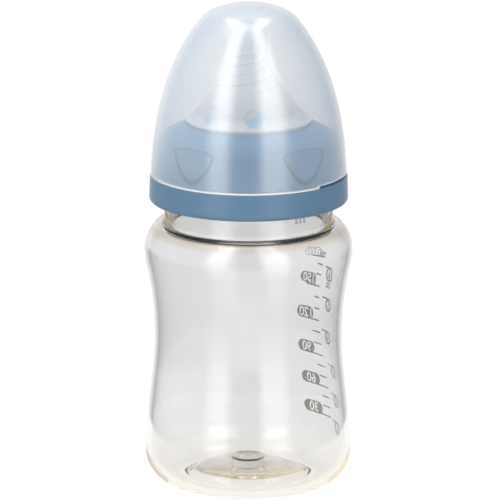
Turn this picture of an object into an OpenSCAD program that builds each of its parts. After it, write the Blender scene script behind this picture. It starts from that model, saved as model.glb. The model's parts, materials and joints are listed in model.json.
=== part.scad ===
// Wide-neck baby bottle: a clear waisted bottle, a silicone teat, a screw ring and a hood.
// Millimetres, +Z up, origin at the middle of the foot, pieces assembled and the ring screwed tight.

/* [Bottle] */
// Widest diameter of the lower body
base_d = 66.5; // [63:0.5:70]
// Diameter at the waist
waist_d = 60.7; // [56:0.1:62]
// Height of the waist above the table
waist_z = 49; // [44:0.5:54]
// Widest diameter of the shoulder
bulge_d = 67.2; // [64:0.1:71]
// Height at which the shoulder is widest
bulge_z = 77.6; // [74:0.1:79]
// Height of the shoulder's top, where the neck starts
shoulder_z = 86.3; // [84:0.1:92]
// Wall thickness of the body
wall = 1.8; // [1.2:0.1:2.4]
// Outer radius of the corner between foot and side
corner_r = 10.4; // [8:0.1:13]
// Outer radius of the corner between shoulder and neck
crown_r = 3.8; // [3:0.1:4.5]

/* [Base] */
// Width of the flat ring that the bottle stands on
foot_w = 2; // [1:0.1:4]
// Thickness of plastic above the foot
foot_t = 4.3; // [3:0.1:6]
// Inner radius of the corner between floor and side
floor_r = 9.3; // [6.5:0.1:10]
// Diameter of the pushed-up panel
panel_d = 32.2; // [26:0.1:36]
// Height of the panel's edge above the table
panel_z = 2.4; // [1:0.1:3]
// Height of the panel's middle above the table
pushup_z = 4.6; // [3.5:0.1:6]
// Thickness of the panel
panel_t = 3.2; // [2:0.1:4]
// Diameter of the moulding gate's raised disc inside the bottle
gate_d = 10.6; // [6:0.1:14]
// Height of that disc
gate_h = 1.7; // [0.8:0.1:2.5]
// Width of the disc's rim around its dish
gate_rim = 1.4; // [0.8:0.1:2]
// Depth of the dish
gate_dish = 0.5; // [0.2:0.1:0.8]

/* [Neck and thread] */
// Outer diameter of the neck below the thread
neck_d = 54.4; // [52:0.1:56]
// Radius of the fillet between neck and shoulder
neck_fillet = 0.5; // [0.3:0.1:1]
// Wall of the neck below the thread
neck_wall = 2.2; // [1.6:0.1:3.5]
// Height of the neck above the shoulder
neck_h = 25; // [23:0.1:28]
// How far the thread's root stands inside the neck's outside
thread_step = 0.6; // [0.3:0.1:1]
// Height of the thread's ridge
thread_h = 1.4; // [1:0.1:1.4]
// Rise of the thread in one turn
pitch = 4; // [3.6:0.1:5]
// Turns of the ridge on the neck
neck_turns = 1.5; // [1:0.25:1.5]
// Turns of the ridge in the ring
ring_turns = 1.25; // [0.75:0.25:1.25]
// Width of the ridge at its root
ridge_root = 2.2; // [1.8:0.1:2.4]
// Width of the ridge at its crest
ridge_crest = 1.0; // [0.6:0.1:1.2]
// Count of the short ratchet ribs on the neck
ratchet_count = 3; // [2:1:5]
// Height of a ratchet rib
ratchet_h = 0.4; // [0.2:0.1:0.8]

/* [Screw ring] */
// How far the band's lower edge stands outside the seat
band_flare = 0.2; // [0:0.1:1]
// Width of the hood's seat
seat_w = 1.7; // [1.4:0.1:2.5]
// Height of the band
band_h = 8.6; // [7:0.1:10]
// Drop from the bottle's rim to the hood's seat
seat_drop = 9.3; // [8:0.1:10]
// Wall thickness of the band's skirt
skirt_t = 1.7; // [1.4:0.1:2]
// Rounding of the band's lower edge
skirt_round = 1.2; // [0.6:0.1:1.4]
// Plastic of the collar outside the thread
collar_wall = 1.8; // [1.4:0.1:2.6]
// How far the collar leans in from the seat to its domed top
collar_taper = 0.7; // [0.3:0.1:0.9]
// Height of the collar's mouth above the seat
collar_h = 17.3; // [16.6:0.1:19]
// Slope of the domed top, in degrees
dome_slope = 28; // [24:0.5:30]
// Rounding between collar and domed top
dome_round = 2.2; // [1:0.1:3]
// Thickness of the domed top
dome_t = 1.6; // [1.2:0.1:1.8]
// Width of the teat's shoulder that the domed top covers
cover_w = 6.7; // [6:0.1:8]
// Gap around the bottle's rim inside the collar
rim_gap = 0.4; // [0.2:0.1:0.6]
// Width of the rib that clamps the teat
clamp_w = 2; // [1.4:0.1:2.4]
// Count of the flat grip facets on the collar
facet_count = 4; // [2:1:4]
// Angle of a facet from the front or back, in degrees
facet_turn = 38; // [30:1:44]
// Height of a facet's lowest point above the seat
facet_z = 3.3; // [2:0.1:6]
// Lean of a facet from upright, in degrees
facet_lean = 10.7; // [8:0.1:11]

/* [Teat] */
// How far the sealing flange stands inside the rim's outside
flange_in = 0.4; // [0.1:0.1:0.8]
// Thickness of the sealing flange
flange_t = 2; // [1.5:0.1:2.4]
// Wall thickness of the teat
teat_t = 2.2; // [1.6:0.1:2.6]
// How far the bead overhangs the ring's mouth
bead_lip = 0.8; // [0.3:0.1:1.4]
// Height of the bead
bead_h = 1.2; // [0.8:0.1:1.6]
// Diameter of the teat's neck
nipple_d = 11.6; // [10:0.1:14]
// Length of the straight neck with its tip
nipple_h = 11; // [9:0.5:12]
// Height of the tip above the bottle's rim
tip_h = 40.7; // [38:0.1:42]
// Diameter of the feed hole
feed_d = 1; // [0.6:0.1:1.6]
// Diameter of the vent valve's recess
vent_d = 6.4; // [4:0.1:8]
// Depth of the vent valve's recess
vent_depth = 1.1; // [0.5:0.1:1.3]
// Width of the vent's slit
slit_w = 0.3; // [0.2:0.05:0.5]
// Count of the spiral ribs on the teat's neck
spiral_count = 3; // [2:1:4]
// Rise of a spiral rib in one turn
spiral_lead = 9; // [7:0.5:12]
// Height of a spiral rib
spiral_h = 0.35; // [0.2:0.05:0.6]
// Width of a spiral rib
spiral_w = 1.1; // [0.8:0.1:1.6]
// Drop from the tip to the ribs' upper end
spiral_drop = 8; // [7:0.5:10]
// Height of the ribbed band
spiral_band = 14; // [10:0.5:15]

/* [Hood] */
// Height of the hood
hood_h = 55.8; // [54:0.1:62]
// Wall thickness of the hood
hood_t = 1.2; // [0.8:0.1:1.3]
// Radius of the hood's crown
hood_cap_r = 30.2; // [26:0.1:40]
// Radius of the round between crown and side
hood_nose_r = 10.6; // [8:0.1:14]
// Height of the finger notch in the rim
notch_h = 0.8; // [0.5:0.1:1.5]
// Angle that the notch covers, in degrees
notch_span = 54; // [30:1:70]
// Middle of the notch, in degrees from +X towards the front
notch_turn = 17; // [0:1:40]

/* [Fits] */
// Gap between faces that rest on each other
rest_gap = 0.05; // [0.02:0.01:0.1]
// Gap between pieces that pass each other
pass_gap = 0.3; // [0.2:0.05:0.4]
// Play of the thread along its axis
thread_play = 0.15; // [0.1:0.01:0.2]

/* [Hidden] */
$fn = 96;

sunk = 0.4; // how deep a ridge is rooted in its wall
fade = 24; // degrees over which a thread ridge runs out
spiral_fade = 60; // degrees over which a spiral rib runs out
ridge_steps = 30; // sections of a ridge in one turn
thread_lead_in = 1.4; // plain neck above its ridge
thread_relief = 0.7; // from the rim down to the end of the ring's wide bore
neck_plain = 8.7; // plain neck between shoulder and thread
flattest = 0.01; // least difference in radius that a side's curve is drawn for
rim_round = 0.5; // rounding of the bottle's rim, and the least that the shoulder has inside
crown_share = 0.7; // the most of the shoulder's width that its corner may take up
side_straight = 0.85; // share of the tightest curve, lower side
side_convex = 0.54; // part of it that curves outwards
flare_straight = 0.98; // share of the tightest curve, upper side
flare_convex = 0.21; // part of it that curves outwards

neck_bore = neck_d - 2 * neck_wall;
thread_root_d = neck_d - 2 * thread_step;
thread_bore = thread_root_d + 2 * (thread_h + pass_gap);
collar_bore = thread_root_d + 2 * rim_gap;
collar_d = thread_bore + 2 * collar_wall;
collar_top_d = collar_d - 2 * collar_taper;
seat_d = collar_d + 2 * seat_w;
band_d = seat_d + 2 * band_flare;
flange_d = thread_root_d - 2 * flange_in;
mouth_d = flange_d - 2 * cover_w;
bead_d = mouth_d + 2 * bead_lip;
hood_d = seat_d - 2 * rest_gap;

rim_z = shoulder_z + neck_h;
neck_foot_r = neck_d / 2 + neck_fillet;
seat_z = rim_z - seat_drop;
band_z = seat_z - band_h;
mouth_z = seat_z + collar_h;
flange_z = rim_z + rest_gap;
clamp_z = flange_z + flange_t + rest_gap;
tip_z = rim_z + tip_h;
hood_z = seat_z + rest_gap;
thread_top = rim_z - thread_lead_in; // upper end of the neck's ridge

// Points along an arc about c, from angle a0 to a1
function arc(c, r, a0, a1, n = 6) =
    [for (i = [0:n]) let (a = a0 + (a1 - a0) * i / n) [c.x + r * cos(a), c.y + r * sin(a)]];

// Points along a cubic curve
function bezier(p, n = 12) =
    [for (i = [0:n]) let (t = i / n, u = 1 - t)
        u * u * u * p[0] + 3 * u * u * t * p[1] + 3 * u * t * t * p[2] + t * t * t * p[3]];

function reversed(v) = [for (i = [len(v) - 1:-1:0]) v[i]];

// Curve from an upright wide end p to an upright narrow end q: an outward arc, a straight and an inward arc.
// Where q is the wider end, the two arcs change places. t offsets the curve inwards, about the same centres.
function ogee(p, q, straight, convex, t) =
    let (
        way = p.x < q.x ? -1 : 1,
        dr = max(abs(p.x - q.x), flattest),
        dz = abs(q.y - p.y),
        s = way * sign(q.y - p.y),
        sum = straight * (dz * dz + dr * dr) / (2 * dr),
        ra = way * sum * convex,
        rb = way * sum - ra,
        turn = atan2(dz, sum - dr) - acos(sum / norm([sum - dr, dz])),
        a = [p.x - ra, p.y],
        b = [q.x + rb, q.y]
    )
    concat(arc(a, ra - t, 0, s * turn, 5), reversed(arc(b, -(rb + t), 0, s * turn, 5)));

// Side of the bottle from the foot's corner to the top of the shoulder, offset inwards by t
function side(t) =
    let (
        a = bulge_d / 2 - neck_foot_r,
        b = shoulder_z - bulge_z,
        crown = min(crown_r, a * crown_share),
        crown_in = max(crown - t, rim_round),
        big = (a * a + (b - crown) * (b - crown) - crown * crown) / (2 * (a - crown)),
        turn = atan2(b - crown, big - a),
        low = [base_d / 2, corner_r],
        mid = [waist_d / 2, waist_z],
        top = [bulge_d / 2, bulge_z]
    )
    concat(
        ogee(low, mid, side_straight, side_convex, t),
        reversed(ogee(top, mid, flare_straight, flare_convex, t)),
        arc([top.x - big, bulge_z], big - t, 0, turn, 6),
        arc([neck_foot_r, shoulder_z - t - crown_in], crown_in, turn, 90, 5)
    );

// Ridge along a right-hand helix whose middle starts at height z0 and angle a0. Its root is at root_r and its crest at
// crest_r, both numbers or functions of the height.
module ridge(root_r, crest_r, root_w, crest_w, turns, rise, z0, a0, run_out) {
    n = ceil(turns * ridge_steps);
    inside = is_num(crest_r) && crest_r < root_r;
    function at(r, z) = is_function(r) ? r(z) : r;
    rings = [for (i = [0:n])
        let (
            a = 360 * turns * i / n,
            z = z0 + rise * turns * i / n,
            f = max(0.04, min(1, a / run_out, (360 * turns - a) / run_out)),
            rr = at(root_r, z),
            rc = rr + (at(crest_r, z) - rr) * f,
            section = [[rr, -root_w / 2], [rc, -crest_w / 2], [rc, crest_w / 2], [rr, root_w / 2]]
        )
        each [for (p = inside ? reversed(section) : section)
            [p.x * cos(a + a0), p.x * sin(a + a0), z + p.y]]];
    sides = [for (i = [0:n - 1], j = [0:3])
        let (a = 4 * i + j, b = 4 * i + (j + 1) % 4)
        each [[b + 4, a + 4, a], [b, b + 4, a]]];
    ends = [[2, 1, 0], [3, 2, 0], [4 * n + 1, 4 * n + 2, 4 * n], [4 * n + 2, 4 * n + 3, 4 * n]];
    polyhedron(rings, concat(sides, ends), convexity = 6);
}

module bottle() {
    bore_round = 1;
    step_z = shoulder_z + neck_plain; // the neck narrows to the thread's root here
    bore = neck_bore / 2;
    root = thread_root_d / 2;
    foot_r = base_d / 2 - corner_r;
    panel = panel_d / 2;
    channel_r = base_d / 2 - wall - floor_r;
    channel_z = foot_t + floor_r;
    flat_r = min(foot_r - foot_w, channel_r - foot_w / 4);
    floor_mid = pushup_z + panel_t;
    floor_edge = panel_z + panel_t;

    outside = concat(
        [[0, pushup_z]],
        [for (i = [1:6]) let (u = i / 6) [panel * u, pushup_z - (pushup_z - panel_z) * u * u]],
        [[foot_r - foot_w, 0]],
        arc([foot_r, corner_r], corner_r, -90, 0, 9),
        side(0),
        arc([neck_foot_r, shoulder_z + neck_fillet], -neck_fillet, 90, 0, 3),
        [[neck_d / 2, step_z - neck_d / 2 + root], [root, step_z]],
        arc([root - rim_round, rim_z - rim_round], rim_round, 0, 90, 3)
    );
    inside = concat(
        arc([bore + rim_round, rim_z - rim_round], rim_round, 90, 180, 3),
        arc([bore + bore_round, shoulder_z - wall + bore_round], -bore_round, 0, 90, 4),
        reversed([for (p = side(wall)) if (p.y > channel_z + foot_w / 4) p]),
        arc([channel_r, channel_z], floor_r, 0, -90, 8),
        [[flat_r, foot_t]],
        [for (i = [6:-1:0])
            let (u = i / 6)
            [panel * u, floor_mid - (floor_mid - floor_edge) * u * u]]
    );
    color("lightyellow", 0.5)
    union() {
        rotate_extrude() polygon(concat(outside, inside));
        gate_disc(floor_mid);
        ridge(root - sunk, root + thread_h, ridge_root + sunk, ridge_crest, neck_turns, pitch,
            thread_top - ridge_root / 2 - neck_turns * pitch, 0, fade);
        ratchet();
    }
}

// Raised disc with a dish, left by the moulding gate
module gate_disc(floor_mid) {
    r = gate_d / 2;
    top = floor_mid + gate_h;
    dish = r - gate_rim;
    rotate_extrude()
    polygon([
        [0, floor_mid - panel_t / 2],
        [r, floor_mid - panel_t / 2],
        [r, top - gate_rim / 3],
        [r - gate_rim / 3, top],
        [dish, top],
        [dish - gate_dish, top - gate_dish],
        [0, top - gate_dish]
    ]);
}

// Short upright ribs at the front of the neck, just under the ring
module ratchet() {
    rib_w = 0.6;
    rib_step = 3.2; // degrees between ribs
    rib_turn = 37; // degrees from the front to the middle rib
    rib_long = 2.6;
    for (i = [0:ratchet_count - 1])
        rotate([0, 0, -90 + rib_turn + (i - (ratchet_count - 1) / 2) * rib_step])
        translate([neck_d / 2 - sunk, -rib_w / 2, band_z - rib_long / 2])
        cube([sunk + ratchet_h, rib_w, rib_long]);
}

module screw_ring() {
    edge = 0.25; // small rounding of the seat's outer edge
    bore = collar_bore / 2;
    groove = thread_bore / 2;
    skirt_in = band_d / 2 - skirt_t;
    skirt_top = seat_z - dome_t; // inside height of the skirt
    step_z = rim_z - thread_relief; // the bore narrows above the thread
    mouth = mouth_d / 2;
    slope = tan(dome_slope);
    collar = collar_d / 2;
    collar_top = collar_top_d / 2;
    corner_z = mouth_z - (collar_top - mouth) * slope;
    under = dome_t / cos(dome_slope);
    clamp_out = min(flange_d / 2 - pass_gap, bore - pass_gap);
    clamp_in = clamp_out - clamp_w;
    function dome(r) = mouth_z - (r - mouth) * slope;
    round_z = corner_z - dome_round * tan((90 - dome_slope) / 2);
    profile = concat(
        [[skirt_in, band_z], [band_d / 2 - skirt_round, band_z]],
        arc([band_d / 2 - skirt_round, band_z + skirt_round], skirt_round, -60, 0, 4),
        arc([seat_d / 2 - edge, seat_z - edge], edge, 0, 90, 2),
        [[collar, seat_z]],
        arc([collar_top - dome_round, round_z], dome_round, 0, 90 - dome_slope, 5),
        [[mouth + dome_t / 3, dome(mouth + dome_t / 3)]],
        [[mouth, mouth_z - dome_t / 3]],
        [[mouth, mouth_z - under]],
        [[clamp_in, dome(clamp_in) - under], [clamp_in, clamp_z], [clamp_out, clamp_z]],
        [[clamp_out, dome(clamp_out) - under - dome_t / 3]],
        [[bore, dome(clamp_out) - under - dome_t / 3 - (bore - clamp_out)]],
        [[bore, step_z + (groove - bore)], [groove, step_z]],
        [[groove, skirt_top], [skirt_in, skirt_top - (skirt_in - groove) / 2]]
    );
    color("steelblue")
    difference() {
        union() {
            rotate_extrude() polygon(profile);
            ridge(groove + sunk, groove - thread_h, ridge_root + sunk, ridge_crest, ring_turns, pitch,
                ring_ridge_z(), 0, fade);
        }
        for (i = [0:facet_count - 1])
            let (back = i < 2 ? 0 : 180, way = i % 2 == 0 ? 1 : -1)
            rotate([0, 0, -90 + back + way * facet_turn])
            facet_cutter(collar, collar_top, corner_z);
    }
}

// Height at which the middle of the ring's ridge starts: under the neck's ridge, which pulls the ring down
function ring_ridge_z() =
    let (
        neck_start = thread_top - ridge_root / 2 - neck_turns * pitch,
        slant = (ridge_root - ridge_crest) / (thread_h + sunk),
        width = ridge_crest + slant * pass_gap
    )
    neck_start + pitch - width - slant * (thread_h - pass_gap) / 2 - thread_play - pitch;

// Block whose inner face shaves the collar to a flat, leaning facet
module facet_cutter(collar, collar_top, corner_z) {
    size = 30;
    lip = 1.5; // the block starts this far below the facet
    low_r = collar - (collar - collar_top) * facet_z / (corner_z - seat_z);
    translate([low_r, 0, seat_z + facet_z])
    rotate([0, -facet_lean, 0])
    translate([0, -size / 2, -lip])
    cube([size, size, size]);
}

// Outside of the teat's dome and neck, offset inwards by t
function teat_dome(t) =
    let (
        inset = 2.4, // the dome starts inside the bead
        step = 1, // and a little above it
        foot = [bead_d / 2 - inset, bead_top() + step],
        r = nipple_d / 2,
        neck_z = tip_z - nipple_h,
        rise = neck_z - foot.y,
        low_pull = rise * [-0.17, 0.25],
        high_pull = rise * [0.04, -0.39]
    )
    bezier([foot, foot + low_pull, [r, neck_z] + high_pull, [r, neck_z]] - [for (i = [0:3]) [t, 0]]);

function bead_top() = mouth_z + pass_gap / 2 + bead_h;

module teat() {
    edge = 0.4;
    tip_extra = 0.4; // the tip is thicker than the wall
    flange = flange_d / 2;
    slope = tan(dome_slope);
    under = dome_t / cos(dome_slope);
    mouth = mouth_d / 2;
    groove = mouth - pass_gap;
    clamp_in = min(flange, collar_bore / 2) - pass_gap - clamp_w;
    body = clamp_in - pass_gap;
    function below(r) = mouth_z - under - (r - mouth) * slope - pass_gap / cos(dome_slope);
    bead = bead_d / 2;
    bead_z = mouth_z + pass_gap / 2;
    tip_r = nipple_d / 2;
    tip_t = teat_t + tip_extra;
    hollow_r = groove - teat_t;
    dome = teat_dome(0);
    outside = concat(
        [[body - teat_t, flange_z], [flange - edge, flange_z]],
        arc([flange - edge, flange_z + edge], edge, -90, 0, 2),
        arc([flange - edge, flange_z + flange_t - edge], edge, 0, 90, 2),
        [[body, flange_z + flange_t], [body, below(body)], [groove, below(groove)], [groove, bead_z]],
        arc([bead - bead_h / 2, bead_z + bead_h / 2], bead_h / 2, -90, 90, 6),
        dome,
        arc([0, tip_z - tip_r], tip_r, 0, 90, 8)
    );
    inside = concat(
        arc([0, tip_z - tip_r - tip_t + teat_t], tip_r - teat_t, 90, 0, 6),
        reversed(teat_dome(teat_t)),
        [[hollow_r, bead_top()], [hollow_r, below(groove) - teat_t / 2]],
        [[body - teat_t, below(body) - teat_t / 2]]
    );
    wall_r = [for (p = dome) [p.y, p.x]];
    color("whitesmoke", 0.8)
    difference() {
        union() {
            rotate_extrude() polygon(concat(outside, inside));
            for (i = [0:spiral_count - 1]) {
                ridge(function(z) lookup(z, wall_r) - sunk, function(z) lookup(z, wall_r) + spiral_h,
                    spiral_w, spiral_w / 3, spiral_band / spiral_lead, spiral_lead,
                    tip_z - spiral_drop - spiral_band, 360 * i / spiral_count, spiral_fade);
            }
        }
        translate([0, 0, tip_z - tip_r]) cylinder(h = tip_r * 2, d = feed_d);
        vent_valve();
    }
}

// Round recess with a slit, set square to the front of the dome
module vent_valve() {
    dome = teat_dome(0);
    p = dome[2];
    run = dome[3] - dome[1];
    lean = atan2(-run.x, run.y); // how far the dome's surface leans inwards
    turn = 8; // degrees from the front
    rotate([0, 0, -90 + turn])
    translate([p.x, 0, p.y])
    rotate([0, 90 - lean, 0]) {
        translate([0, 0, -vent_depth]) cylinder(h = 3 * vent_depth, d = vent_d);
        translate([-slit_w / 2, -vent_d / 4, -2 * teat_t]) cube([slit_w, vent_d / 2, 2 * teat_t]);
    }
}

// Hood's curve from rim to crown, offset inwards by t
function hood_curve(t) =
    let (
        rim_lean = 1.9,
        nose_lean = 38.2,
        cap_lean = 67,
        cap = hood_cap_r - t,
        nose = hood_nose_r - t,
        top = hood_z + hood_h - t,
        cap_c = [0, top - cap],
        nose_c = cap_c + (cap - nose) * [cos(cap_lean), sin(cap_lean)],
        rim = [hood_d / 2 - t, hood_z],
        end = nose_c + nose * [cos(nose_lean), sin(nose_lean)],
        pull = 0.36 * (end.y - rim.y)
    )
    concat(
        bezier([
            rim,
            rim + pull * [-sin(rim_lean), cos(rim_lean)],
            end - pull * [-sin(nose_lean), cos(nose_lean)],
            end
        ], 14),
        arc(nose_c, nose, nose_lean, cap_lean, 4),
        arc(cap_c, cap, cap_lean, 90, 4)
    );

module hood() {
    color("aliceblue", 0.5)
    difference() {
        rotate_extrude() polygon(concat(hood_curve(0), reversed(hood_curve(hood_t))));
        rotate([0, 0, -notch_turn - notch_span / 2])
        rotate_extrude(angle = notch_span)
        translate([hood_d / 2 - 3 * hood_t, hood_z - notch_h])
        square([6 * hood_t, 2 * notch_h]);
    }
}

bottle();
teat();
screw_ring();
hood();
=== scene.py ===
# %% [markdown]
# # A wide-neck baby bottle
# The object has four real pieces: a clear bottle with a waist, a soft silicone teat, a screw ring
# that clamps the teat's flange on the rim, and a frosted hood. All four are surfaces of revolution
# with small departures from roundness, so one Geometry Nodes lathe makes them all, and a few more
# node trees add threads, ribs, facets and pockets. Each piece rides on the body of its own solid,
# so that the ring can unscrew and the hood can lift.

import json
import math

import bmesh
import bpy
import numpy as np
from mathutils import Matrix, Vector

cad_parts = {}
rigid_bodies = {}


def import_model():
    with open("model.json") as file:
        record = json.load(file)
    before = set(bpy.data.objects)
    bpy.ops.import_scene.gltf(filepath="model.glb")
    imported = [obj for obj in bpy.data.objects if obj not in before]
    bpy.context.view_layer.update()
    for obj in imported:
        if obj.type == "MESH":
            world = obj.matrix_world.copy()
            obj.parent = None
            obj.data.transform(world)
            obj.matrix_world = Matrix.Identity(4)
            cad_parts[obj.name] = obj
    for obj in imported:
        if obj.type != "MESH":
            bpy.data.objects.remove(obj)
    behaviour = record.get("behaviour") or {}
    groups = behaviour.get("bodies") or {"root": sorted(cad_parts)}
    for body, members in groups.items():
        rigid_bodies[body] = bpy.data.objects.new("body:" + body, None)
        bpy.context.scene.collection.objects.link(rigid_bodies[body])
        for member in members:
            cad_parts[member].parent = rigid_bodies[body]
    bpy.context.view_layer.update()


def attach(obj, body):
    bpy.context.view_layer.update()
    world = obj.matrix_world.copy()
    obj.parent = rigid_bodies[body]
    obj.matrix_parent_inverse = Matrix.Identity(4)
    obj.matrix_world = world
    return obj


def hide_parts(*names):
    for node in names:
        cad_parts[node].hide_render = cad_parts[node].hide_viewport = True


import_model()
mm = 0.001

# %% [markdown]
# ## Writing nodes as Python
# A node tree is easier to read as a formula than as a list of links. `Signal` wraps one socket and
# overloads the operators, so an expression on signals adds its own Math nodes. `Graph` adds any
# other node: its type, its settings, then the values or links of its sockets. Both serve shaders
# and geometry alike. Colours go through a Mix node, because a Math node would turn them grey.


# %% Signals
class Signal:
    """One output socket. Arithmetic on it adds Math nodes."""

    def __init__(self, graph, socket):
        self.graph = graph
        self.socket = socket

    def out(self, name):
        """Another output of the same node."""
        return Signal(self.graph, self.socket.node.outputs[name])

    def math(self, operation, *others):
        inputs = dict(enumerate((self, *others)))
        return self.graph.add("ShaderNodeMath", {"operation": operation}, inputs)

    def __add__(self, other):
        return self.math("ADD", other)

    def __sub__(self, other):
        return self.math("SUBTRACT", other)

    def __rsub__(self, other):
        return self * -1 + other

    def __mul__(self, other):
        return self.math("MULTIPLY", other)

    def __truediv__(self, other):
        return self.math("DIVIDE", other)

    def __rtruediv__(self, other):
        return self**-1.0 * other

    def __pow__(self, other):
        return self.math("POWER", other)

    def __rpow__(self, other):
        return self.graph.add("ShaderNodeMath", {"operation": "POWER"}, {0: other, 1: self})

    def __gt__(self, other):
        return self.math("GREATER_THAN", other)

    def __lt__(self, other):
        return self.math("LESS_THAN", other)

    __radd__ = __add__
    __rmul__ = __mul__

    def held(self):
        """Held between 0 and 1."""
        return self.math("MAXIMUM", 0.0).math("MINIMUM", 1.0)

    def ramp(self, low, high):
        """0 at low, 1 at high, straight between and held outside."""
        return ((self - low) / (high - low)).held()

    def rise(self, low, high):
        """A ramp between two places that are given in mm."""
        return self.ramp(low * mm, high * mm)


print("a signal can do:", [name for name in vars(Signal) if not name.startswith("_")])


# %% Graphs
class Graph:
    """A node tree that is filled from the input side to the output side."""

    def __init__(self, tree):
        self.tree = tree

    def connect(self, socket, value):
        if isinstance(value, Signal):
            self.tree.links.new(value.socket, socket)
        else:
            socket.default_value = value

    def add(self, kind, settings=None, inputs=None):
        node = self.tree.nodes.new(kind)
        for name, value in (settings or {}).items():
            setattr(node, name, value)
        for name, value in (inputs or {}).items():
            self.connect(node.inputs[name], value)
        return Signal(self, node.outputs[0]) if node.outputs else node

    def split(self, vector):
        """The three numbers of a vector."""
        x = self.add("ShaderNodeSeparateXYZ", inputs={"Vector": vector})
        return x, x.out("Y"), x.out("Z")

    def join(self, x=0.0, y=0.0, z=0.0):
        return self.add("ShaderNodeCombineXYZ", inputs={"X": x, "Y": y, "Z": z})

    def mix_colour(self, factor, a, b):
        return self.add("ShaderNodeMix", {"data_type": "RGBA"}, {0: factor, 6: a, 7: b}).out(2)

    def mix_shader(self, factor, a, b):
        return self.add("ShaderNodeMixShader", inputs={0: factor, 1: a, 2: b})


print("a graph can do:", [name for name in vars(Graph) if not name.startswith("_")])

# %% [markdown]
# ## Geometry Nodes as tools
# A `Recipe` is a Geometry Nodes tree with named inputs. Each input is set by its socket's
# identifier before the object is evaluated for the first time, and `settle` turns the result into
# a plain mesh that sits at the origin. A plain mesh is heavier than a live modifier, but it keeps
# its shape wherever the file is opened. An input's kind also says its unit: lengths are given in
# mm and angles in degrees, as a maker writes them.

# %% Recipes
KINDS = {
    "geometry": "NodeSocketGeometry",
    "material": "NodeSocketMaterial",
    "count": "NodeSocketInt",
    "number": "NodeSocketFloat",
    "length": "NodeSocketFloat",
    "angle": "NodeSocketFloat",
}
UNITS = {"length": mm, "angle": math.radians(1)}
ON_POINTS = {"data_type": "FLOAT", "domain": "POINT"}


class Recipe(Graph):
    """A Geometry Nodes tree with named inputs and one geometry output."""

    def __init__(self, name, **inputs):
        super().__init__(bpy.data.node_groups.new(name, "GeometryNodeTree"))
        self.ids = {}
        self.units = {label: UNITS.get(kind, 1) for label, kind in inputs.items()}
        for label, kind in {"Geometry": "geometry", **inputs, "Finish": "material"}.items():
            socket = self.tree.interface.new_socket(label, in_out="INPUT", socket_type=KINDS[kind])
            self.ids[label] = socket.identifier
        self.tree.interface.new_socket("Geometry", in_out="OUTPUT", socket_type=KINDS["geometry"])
        self.start = self.tree.nodes.new("NodeGroupInput")

    def given(self, label):
        return Signal(self, self.start.outputs[label])

    def here(self):
        """The place of each point."""
        return self.add("GeometryNodeInputPosition")

    def carried(self, name):
        """The number that each point carries under a name."""
        return self.add("GeometryNodeInputNamedAttribute", {"data_type": "FLOAT"}, {"Name": name})

    def store(self, geometry, name, value):
        """The geometry with a number written on each point under a name."""
        inputs = {"Geometry": geometry, "Name": name, "Value": value}
        return self.add("GeometryNodeStoreNamedAttribute", ON_POINTS, inputs)

    def pushed(self, offset):
        """What the tree is put on, with its points moved."""
        inputs = {"Geometry": self.given("Geometry"), "Offset": offset}
        return self.add("GeometryNodeSetPosition", inputs=inputs)

    def finish(self, geometry):
        real = self.add("GeometryNodeRealizeInstances", inputs={"Geometry": geometry})
        inputs = {"Geometry": real, "Material": self.given("Finish")}
        done = self.add("GeometryNodeSetMaterial", inputs=inputs)
        self.add("NodeGroupOutput", inputs={"Geometry": done})
        print(self.tree.name, "nodes:", len(self.tree.nodes))

    def put_on(self, obj, finish, **values):
        modifier = obj.modifiers.new(self.tree.name, "NODES")
        modifier.node_group = self.tree
        modifier[self.ids["Finish"]] = finish
        for label, value in values.items():
            modifier[self.ids[label]] = value * self.units[label]


# %% From a live object to a plain mesh
def new_object(name, data):
    obj = bpy.data.objects.new(name, data)
    bpy.context.collection.objects.link(obj)
    return obj


def as_mesh(obj):
    """The object's mesh with its modifiers applied. The object itself is thrown away."""
    graph = bpy.context.evaluated_depsgraph_get()
    mesh = bpy.data.meshes.new_from_object(obj.evaluated_get(graph))
    bpy.data.objects.remove(obj)
    return mesh


def settle(obj, name, sharp_from=30.0):
    """A plain object from a live one, smooth but for its sharp edges."""
    solid = as_mesh(obj)
    solid.name = name
    made = new_object(name, solid)
    solid.shade_smooth()
    solid.set_sharp_from_angle(angle=math.radians(sharp_from))
    spread = [[vertex.co[i] for vertex in solid.vertices] for i in range(3)]
    lengths = [round((max(row) - min(row)) / mm, 2) for row in spread]
    print(name, "faces", len(solid.polygons), "mm", lengths)
    return made


# %% [markdown]
# ## The lathe
# A lathe turns one outline round an axis. Blender's Screw modifier does that too, but it would
# lose what the points of the outline carry. The tree makes a grid with one row for each step of
# the turn and one column for each point of the outline, looks the point up by its number, and
# swings it to its place. Merging by distance then closes the seam and the poles. `skin` is a mark
# that a point brings along, to say which surface carries a thread, a rib or a facet.

# %% The lathe's tree
NEAREST = 0.002
lathe = Recipe("lathe", Steps="count")
outline, steps = lathe.given("Geometry"), lathe.given("Steps")
points = lathe.add(
    "GeometryNodeAttributeDomainSize", {"component": "MESH"}, {"Geometry": outline}
)
grid = lathe.add(
    "GeometryNodeMeshGrid",
    inputs={"Size X": 1.0, "Size Y": 1.0, "Vertices X": steps + 1, "Vertices Y": points},
)
number = lathe.add("GeometryNodeInputIndex")
row = ((number + 0.5) / points).math("FLOOR")
column = number - row * points
place = lathe.add(
    "GeometryNodeSampleIndex",
    {"data_type": "FLOAT_VECTOR", "domain": "POINT"},
    {"Geometry": outline, "Value": lathe.here(), "Index": column},
)
mark = lathe.add(
    "GeometryNodeSampleIndex",
    ON_POINTS,
    {"Geometry": outline, "Value": lathe.carried("skin"), "Index": column},
)
out_by, _, up_by = lathe.split(place)
turn = row / steps * math.tau
swung = lathe.join(out_by * turn.math("COSINE"), out_by * turn.math("SINE"), up_by)
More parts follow.
